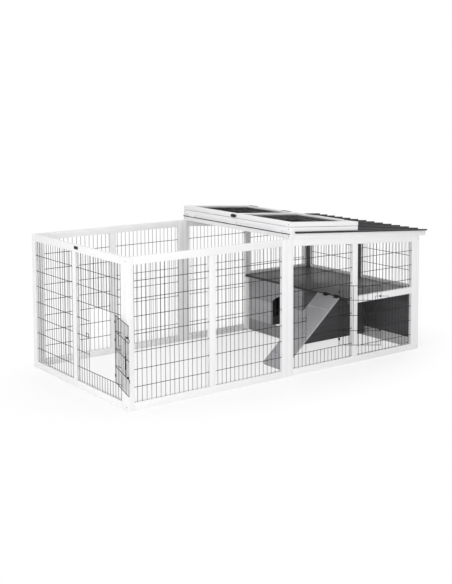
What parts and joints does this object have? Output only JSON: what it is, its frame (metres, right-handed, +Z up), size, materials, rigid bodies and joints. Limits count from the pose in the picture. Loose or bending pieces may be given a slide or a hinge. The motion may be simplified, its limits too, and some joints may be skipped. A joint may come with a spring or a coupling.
{
  "type": "guinea pig hutch",
  "caption": "Ground-standing timber and wire mesh pet run with a roofed hutch end, platform, ramp, nest box, wire doors and a folding mesh lid.",
  "frame": {"origin": "middle of the lowest plane of the whole object, with both wire doors standing open and the lid folded back on the roof", "axes": "+Z up; +X along the front from the run to the hutch end; +Y from the front to the back"},
  "size_m": [1.9942, 1.1258, 0.7818],
  "materials": {
    "white_timber": "white painted softwood",
    "dark_boards": "dark grey painted boards",
    "ramp_boards": "mid grey painted boards",
    "roof_boards": "dark grey roof boards",
    "mesh_wire": "black coated welded wire",
    "white_metal": "white painted steel",
    "black_metal": "black painted steel"
  },
  "bodies": {
    "hutch": {"back_hutch_boards": "dark_boards", "back_hutch_mesh": "mesh_wire", "back_hutch_rails": "white_timber", "back_hutch_stiles": "white_timber", "back_run_mesh": "mesh_wire", "back_run_rails": "white_timber", "back_run_stiles": "white_timber", "board_skirts": "white_timber", "catch_plate": "black_metal", "front_door_keeper": "black_metal", "front_fascia": "white_timber", "front_hutch_mesh": "mesh_wire", "front_hutch_rails": "white_timber", "front_hutch_stiles": "white_timber", "front_run_mesh": "mesh_wire", "front_run_rails": "white_timber", "front_run_stiles": "white_timber", "hinge_batten": "white_timber", "hinge_rail": "white_timber", "left_door_keeper": "black_metal", "left_end_mesh": "mesh_wire", "left_end_rails": "white_timber", "left_end_stiles": "white_timber", "lid_hinge_fixed": "white_metal", "nest_front_boards": "dark_boards", "nest_side_battens": "white_timber", "nest_side_boards": "dark_boards", "platform": "dark_boards", "platform_ledgers": "dark_boards", "ramp_hinge_fixed": "black_metal", "rear_fascia": "white_timber", "right_end_boards": "dark_boards", "right_end_mesh": "mesh_wire", "right_end_rails": "white_timber", "right_end_stiles": "white_timber", "roof_battens": "white_timber", "roof_boards": "roof_boards", "roof_end_rail": "white_timber"},
    "lower_lid": {"lower_lid_frame": "white_timber", "lower_lid_mesh": "mesh_wire", "lid_hinge_moving": "white_metal", "fold_hinge_lower": "black_metal"},
    "upper_lid": {"upper_lid_frame": "white_timber", "upper_lid_mesh": "mesh_wire", "fold_hinge_upper": "black_metal", "turn_button_screw": "black_metal"},
    "turn_button": {"turn_button": "black_metal"},
    "left_door": {"left_door_mesh": "mesh_wire", "left_door_clips": "black_metal"},
    "left_door_bolt": {"left_door_bolt": "black_metal", "left_door_grip": "black_metal"},
    "front_door": {"front_door_mesh": "mesh_wire", "front_door_clips": "black_metal"},
    "front_door_bolt": {"front_door_bolt": "black_metal", "front_door_grip": "black_metal"},
    "ramp": {"ramp_board": "ramp_boards", "ramp_cleats": "ramp_boards", "ramp_hinge_moving": "black_metal"}
  },
  "joints": [
    {"name": "lid_hinge", "type": "hinge", "parent": "hutch", "child": "lower_lid", "pos_m": [0.01407, 0.07389, 0.7293], "axis": [0, -1, 0], "range_deg": [0, 183.83]},
    {"name": "lid_fold", "type": "hinge", "parent": "lower_lid", "child": "upper_lid", "pos_m": [0.48403, 0.07389, 0.72788], "axis": [0, 1, 0], "range_deg": [0, 180]},
    {"name": "button_turn", "type": "hinge", "parent": "upper_lid", "child": "turn_button", "pos_m": [0.02187, 0.06789, 0.77087], "axis": [-0.9978, 0, 0.0669], "range_deg": [0, 90]},
    {"name": "left_door_hinge", "type": "hinge", "parent": "hutch", "child": "left_door", "pos_m": [-0.91143, -0.28586, 0.26], "axis": [0, 0, 1], "range_deg": [-164, 8]},
    {"name": "left_bolt_slide", "type": "slide", "parent": "left_door", "child": "left_door_bolt", "axis": [-0.2756, -0.9613, 0], "range_m": [-0.036, 0]},
    {"name": "front_door_hinge", "type": "hinge", "parent": "hutch", "child": "front_door", "pos_m": [0.35657, -0.39911, 0.26], "axis": [0, 0, 1], "range_deg": [-142.5, 30]},
    {"name": "front_bolt_slide", "type": "slide", "parent": "front_door", "child": "front_door_bolt", "axis": [0.7934, -0.6088, 0], "range_m": [-0.036, 0]},
    {"name": "ramp_hinge", "type": "hinge", "parent": "hutch", "child": "ramp", "pos_m": [0.43957, -0.22111, 0.3435], "axis": [0, 1, 0], "range_deg": [0, 60]}
  ],
  "couplings": [
    {"joint": "lid_fold", "follows": "lid_hinge", "ratio": 0.97915}
  ]
}
